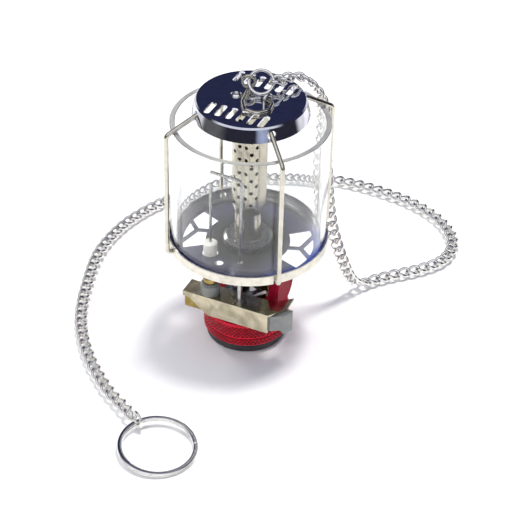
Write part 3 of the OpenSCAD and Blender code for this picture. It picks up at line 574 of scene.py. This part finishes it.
def make_rim():
    """Rim of the glass: ground grey, with a painted pale reflection towards the front."""
    material, tree, surface = shader("glass_rim")
    surface.inputs["Transmission Weight"].default_value = 0.55
    surface.inputs["IOR"].default_value = 1.3
    ground = colours(tree, noise(tree, 200, 3), (0.62, 0.63, 0.62), (0.76, 0.77, 0.75), 0.35, 0.65)
    # Pale cream towards the front: painted reflection of light on the fire-polished rim
    polished = colours(tree, noise(tree, 200, 3), (0.9, 0.88, 0.8), (0.96, 0.95, 0.9), 0.35, 0.65)
    front = colours(tree, measure_along(tree, TO_FRONT), BLACK, WHITE, 19.5 * MM, 26.8 * MM)
    tree.links.new(blend(tree, front, ground, polished), surface.inputs["Base Color"])
    tree.links.new(spread(tree, noise(tree, 700, 3), 0.3, 0.45), surface.inputs["Roughness"])
    return material


red_knob = make_red_knob()
pan_chrome = make_pan_chrome()
ring_steel = make_ring_steel()
clear_glass = make_glass()
glass_rim = make_rim()

FINISH = {"hood_chrome": hood_chrome, "pan_chrome": pan_chrome, "satin_steel": satin_steel,
          "steel": steel, "burner_steel": burner_steel, "nickel": nickel, "brass": brass,
          "dark_gauze": dark_gauze, "chain_chrome": chain_chrome, "bracket_chrome": bracket_chrome,
          "red_anodised": red_anodised, "red_knob": red_knob, "black_plastic": black_plastic,
          "grey_plastic": grey_plastic, "grey_rubber": grey_rubber, "black_rubber": black_rubber,
          "white_ceramic": white_ceramic, "clear_glass": clear_glass}
# Nodes whose finish is not that of their slot
NODE_FINISH = {"base_ring": ring_steel, "hood_rivet": chain_chrome, "hood_staple": chain_chrome,
               "hanger_hook": satin_steel, "burner_hub": hub_steel}


def dress(piece, *materials):
    """Gives a piece its materials, in the order of their indices."""
    piece.data.materials.clear()
    for material in materials:
        piece.data.materials.append(material)


for part in frame["record"]["subparts"]:
    for slot in nodes[part["node"]].material_slots:
        slot.material = NODE_FINISH.get(part["node"], FINISH[part["material_slot"]])
for piece in (chain, split_ring):
    dress(piece, chain_chrome)


# Glass: a thick clear cylinder with fire-polished rims, in mm

GLASS_R = 30.2
GLASS_WALL = 2
GLASS_IN = GLASS_R - GLASS_WALL
GLASS_LOW = 45.42
GLASS_TOP = 98.6
GLASS_SEGMENTS = 192
FOOT_ROUND = 0.2
FOOT_BAND = 0.5
RIM_ROUND = 0.22
RIM_BAND = 0.8
RIM_EDGE = 0.5
RIM_SKIN = 0.02
ROUND_STEPS = 6


def make_globe():
    """The cylinder, with narrow bands that keep the shading flat beside its rounded edges."""
    corners = ((GLASS_IN, GLASS_LOW, FOOT_ROUND), (GLASS_R, GLASS_LOW, FOOT_ROUND),
               (GLASS_R, GLASS_LOW + FOOT_BAND, 0), (GLASS_R, GLASS_TOP - RIM_BAND, 0),
               (GLASS_R, GLASS_TOP, RIM_ROUND), (GLASS_R - RIM_EDGE, GLASS_TOP, 0),
               (GLASS_IN + RIM_EDGE, GLASS_TOP, 0), (GLASS_IN, GLASS_TOP, RIM_ROUND),
               (GLASS_IN, GLASS_TOP - RIM_BAND, 0), (GLASS_IN, GLASS_LOW + FOOT_BAND, 0))
    profile = rounded([(r, z) for r, z, bend in corners], [bend for r, z, bend in corners], ROUND_STEPS)
    return lathe("globe", profile, GLASS_SEGMENTS)


glass = make_globe()
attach(glass, "lantern")
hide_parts("glass_globe")
dress(glass, clear_glass, glass_rim)
for face in glass.data.polygons:
    if face.center.z > (GLASS_TOP - RIM_SKIN) * MM:
        face.material_index = 1
glass.visible_shadow = False


# Collar: two bands of diamond knurl with a plain groove between, in mm

KNURL_R = 17.2
KNURL_DEPTH = 0.4
KNURL_PITCH = 1.7
KNURLS_AROUND = 64
COLLAR_SEGMENTS = 640
COLLAR_UNDER = ((5.1, 4), (16.6, 4), (16.95, 4.15))
LOWER_BAND = (4.4, 6.9, 13)
COLLAR_GROOVE = ((16.7, 7), (16.7, 7.8))
UPPER_BAND = (7.9, 12.9, 26)
COLLAR_OVER = ((16.9, 13.4), (16.5, 13.8), (16, 14), (6, 14), (6, 12), (5.1, 12))
VALLEY_R = (16.72, 17.0)
VALLEY_Z = (4.3, 13)


def saw(x):
    """A zigzag between 0 and 1."""
    return abs(2 * (x - math.floor(x)) - 1)


def plain_rows(outline):
    return [(r, z, False) for r, z in outline]


def knurl_rows(low, high, steps):
    return [(KNURL_R, low + (high - low) * k / steps, True) for k in range(steps + 1)]


def make_collar():
    """A turned outline whose knurled rows are cut by two crossing sets of grooves."""
    rows = (plain_rows(COLLAR_UNDER) + knurl_rows(*LOWER_BAND) + plain_rows(COLLAR_GROOVE)
            + knurl_rows(*UPPER_BAND) + plain_rows(COLLAR_OVER))
    points = []
    for s in range(COLLAR_SEGMENTS):
        a = s / COLLAR_SEGMENTS
        for r, z, knurled in rows:
            if knurled:
                rise = saw(a * KNURLS_AROUND + z / KNURL_PITCH)
                fall = saw(a * KNURLS_AROUND - z / KNURL_PITCH)
                r -= KNURL_DEPTH * (1 - min(rise, fall))
            points.append(Vector((r * math.cos(FULL_TURN * a), r * math.sin(FULL_TURN * a), z)) * MM)
    return add_mesh("knurled_collar", points, closed_grid(COLLAR_SEGMENTS, len(rows)), smooth=False)


def in_valley(face):
    """Whether a face lies at the bottom of the knurl."""
    radius = Vector(face.center[:2]).length / MM
    return VALLEY_R[0] < radius < VALLEY_R[1] and VALLEY_Z[0] < face.center.z / MM < VALLEY_Z[1]


collar = make_collar()
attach(collar, "lantern")
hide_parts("collar")
dress(collar, red_anodised, red_groove_shade)
# The valley faces take the painted shade
for face in collar.data.polygons:
    if in_valley(face):
        face.material_index = 1


# Floor: white, and a little brighter to the rays that see it

FLOOR_R = 0.36
FLOOR_Z = -0.0002
FLOOR_SIDES = 120
FLOOR_GLOW = 0.03


def make_floor():
    """A round sheet just below the lantern's foot."""
    corners = [math.radians(360 / FLOOR_SIDES * k) for k in range(FLOOR_SIDES)]
    points = [(FLOOR_R * math.cos(a), FLOOR_R * math.sin(a), FLOOR_Z) for a in corners]
    return add_mesh("floor", points, [tuple(range(FLOOR_SIDES))], smooth=False)


def make_floor_white():
    """Matt white, with a glow for camera, glossy and transmission rays alone."""
    material = bpy.data.materials.new("floor_white")
    material.use_nodes = True
    tree = material.node_tree
    tree.nodes.clear()
    out = tree.nodes.new("ShaderNodeOutputMaterial")
    matt = tree.nodes.new("ShaderNodeBsdfDiffuse")
    matt.inputs["Color"].default_value = (0.9, 0.9, 0.9, 1)
    glow = tree.nodes.new("ShaderNodeEmission")
    both = tree.nodes.new("ShaderNodeAddShader")
    path = tree.nodes.new("ShaderNodeLightPath")
    seen = reckon(tree, "MAXIMUM", path.outputs["Is Camera Ray"], path.outputs["Is Glossy Ray"])
    seen = reckon(tree, "MAXIMUM", seen, path.outputs["Is Transmission Ray"])
    tree.links.new(reckon(tree, "MULTIPLY", seen, FLOOR_GLOW), glow.inputs["Strength"])
    tree.links.new(matt.outputs[0], both.inputs[0])
    tree.links.new(glow.outputs[0], both.inputs[1])
    tree.links.new(both.outputs[0], out.inputs["Surface"])
    return material


floor = make_floor()
dress(floor, make_floor_white())


# World: white to the camera, a plain light to matt surfaces, and a studio sky in polished metal

AMBIENT = (0.33, 0.345, 0.42)
# What metal mirrors, from straight below to straight above
SKY = ((0.0, WHITE), (0.56, WHITE), (0.66, (0.03, 0.034, 0.085)), (0.85, (0.026, 0.031, 0.075)),
       (1.0, (0.05, 0.055, 0.14)))
# What metal mirrors through the glass, by the same heights
SKY_IN_GLASS = ((0.62, (0.95, 0.95, 0.97)), (0.74, (0.34, 0.34, 0.42)))
# Soft patches on that sky: direction, where each fades in and is full, and colour
SKY_PATCHES = (((0.41, -0.91, 0), -0.25, 0.0, (0.03, 0.03, 0.045)),
               ((-0.8, -0.6, 0.1), 0.8, 0.97, (0.15, 0.15, 0.145)),
               ((0.73, -0.68, 0.08), 0.955, 0.995, (0.5, 0.56, 0.75)),
               ((0.1, -0.5, 0.86), 0.55, 0.8, (0.9, 0.92, 1.0)))


def patch(tree, under, view, towards, edge, full, colour):
    """Lays a soft patch of one colour over the sky, round one direction."""
    fade = tree.nodes.new("ShaderNodeMapRange")
    fade.interpolation_type = "SMOOTHSTEP"
    fade.inputs["From Min"].default_value = edge
    fade.inputs["From Max"].default_value = full
    tree.links.new(reach(tree, view, Vector(towards).normalized()), fade.inputs["Value"])
    return blend(tree, fade.outputs["Result"], under, colour)


def make_world():
    """Sorts the rays: those that metal mirrors see the sky, the others a plain room."""
    world = bpy.data.worlds.new("studio")
    world.use_nodes = True
    tree = world.node_tree
    tree.nodes.clear()
    out = tree.nodes.new("ShaderNodeOutputWorld")
    room = tree.nodes.new("ShaderNodeBackground")
    path = tree.nodes.new("ShaderNodeLightPath")
    view = tree.nodes.new("ShaderNodeTexCoord").outputs["Generated"]
    axes = tree.nodes.new("ShaderNodeSeparateXYZ")
    tree.links.new(view, axes.inputs["Vector"])
    height = spread(tree, axes.outputs["Z"], 0, 1, -1, 1)
    sky = ramp(tree, height, SKY)
    for towards, edge, full, colour in SKY_PATCHES:
        sky = patch(tree, sky, view, towards, edge, full, colour)
    through = reckon(tree, "MINIMUM", path.outputs["Transmission Depth"], 1)
    sky = blend(tree, through, sky, ramp(tree, height, SKY_IN_GLASS))
    clear = reckon(tree, "MAXIMUM", path.outputs["Is Camera Ray"], path.outputs["Is Transmission Ray"])
    plain = blend(tree, clear, AMBIENT, WHITE)
    mirrored = reckon(tree, "MINIMUM", path.outputs["Glossy Depth"], 1)
    tree.links.new(blend(tree, mirrored, plain, sky), room.inputs["Color"])
    tree.links.new(room.outputs[0], out.inputs["Surface"])
    return world


scene.world = make_world()


# Lamps: place, aim and width in metres, and power in watts

def lamp(name, at, aim, width, power, colour):
    """A round lamp that metal does not mirror."""
    data = bpy.data.lights.new(name, "AREA")
    data.shape = "DISK"
    data.size = width
    data.energy = power
    data.color = colour
    holder = bpy.data.objects.new(name, data)
    scene.collection.objects.link(holder)
    holder.location = at
    holder.rotation_euler = (Vector(aim) - Vector(at)).to_track_quat("-Z", "Y").to_euler()
    holder.visible_glossy = False


lamp("key", (0.26, 0.47, 2.0), (0, 0, 0.03), 0.46, 31, (1, 0.97, 0.94))
lamp("side", (-0.85, 0.33, 0.5), (0, 0, 0.01), 0.3, 3.4, (1, 0.98, 0.95))
lamp("low", (-0.72, -0.8, 0.5), (0, 0, 0.03), 0.3, 3.2, (1, 0.98, 0.95))
lamp("fill", (-0.3, -0.3, 1.2), (0, 0, 0.05), 0.9, 2, (0.97, 0.98, 1))
